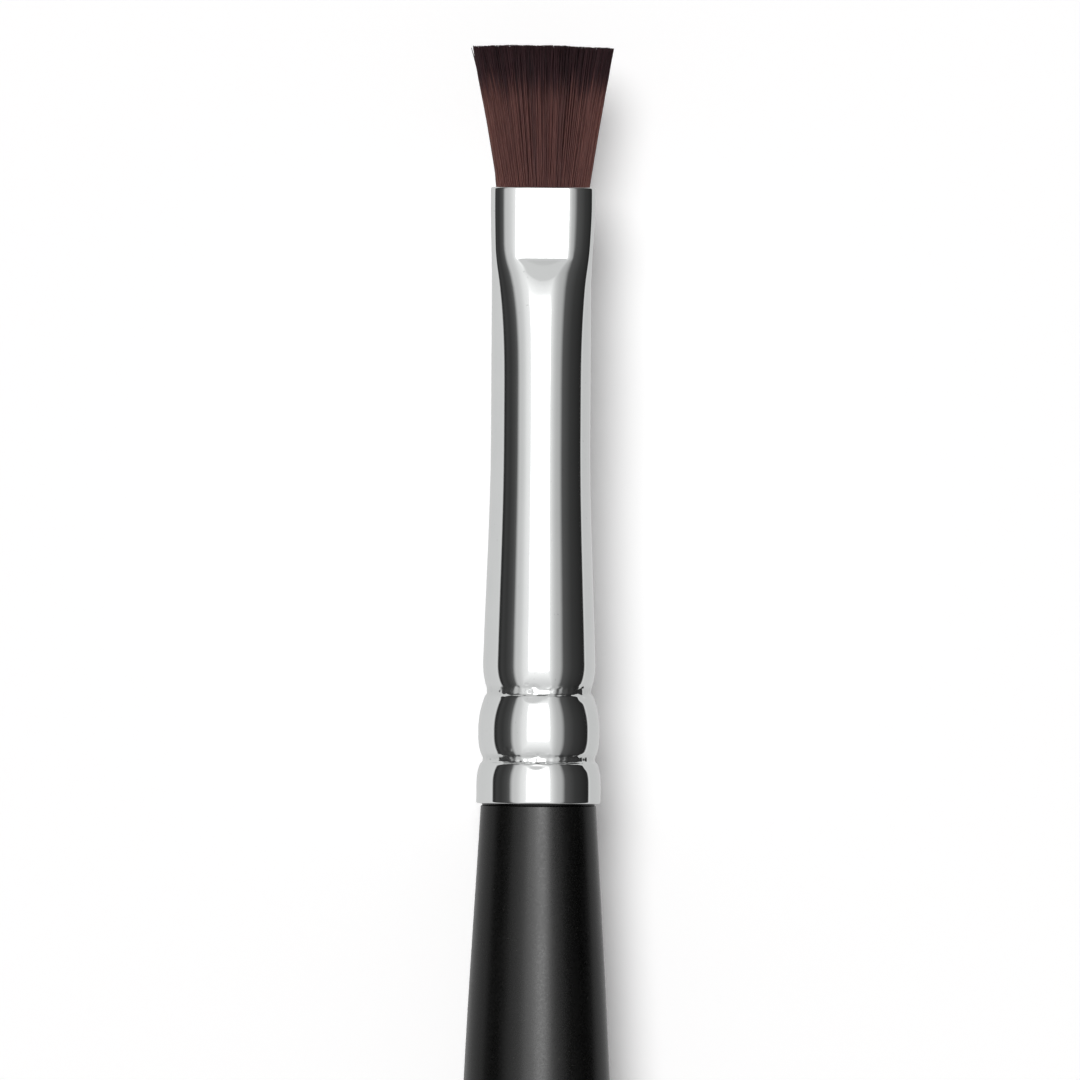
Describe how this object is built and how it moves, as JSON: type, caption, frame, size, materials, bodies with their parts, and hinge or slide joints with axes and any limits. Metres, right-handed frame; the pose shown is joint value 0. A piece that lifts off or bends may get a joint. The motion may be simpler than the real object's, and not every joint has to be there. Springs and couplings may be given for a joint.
{
  "type": "flat definer brush",
  "caption": "Small flat brush: a fanned, flexing tuft of synthetic filaments in a crimped, pressed, bright plated ferrule on a tapered handle in black satin lacquer.",
  "frame": {"origin": "centre of the flat face at the handle's end", "axes": "+X along the brush from the handle's end towards the tuft, +Z out of one of the tuft's two broad faces, +Y across its width"},
  "size_m": [0.17, 0.0088, 0.0088],
  "materials": {
    "black_lacquer": "black satin lacquer with fine specks",
    "plated_brass": "bright nickel plating on drawn brass",
    "filament": "synthetic filament, reddish brown with near-black tips",
    "thread": "undyed twisted thread",
    "setting_resin": "cured amber resin",
    "adhesive": "cured adhesive"
  },
  "bodies": {
    "brush": {"handle": "black_lacquer", "ferrule": "plated_brass", "glue_sleeve": "adhesive", "epoxy_plug": "setting_resin", "binding_thread": "thread", "tuft_root": "filament"},
    "tuft": {"tuft": "filament"}
  },
  "joints": [
    {"name": "tuft_flex", "type": "hinge", "parent": "brush", "child": "tuft", "pos_m": [0.16185, 0, 0], "axis": [0, 1, 0], "range_deg": [-30, 30], "stiffness_Nm_per_rad": 0.005}
  ]
}
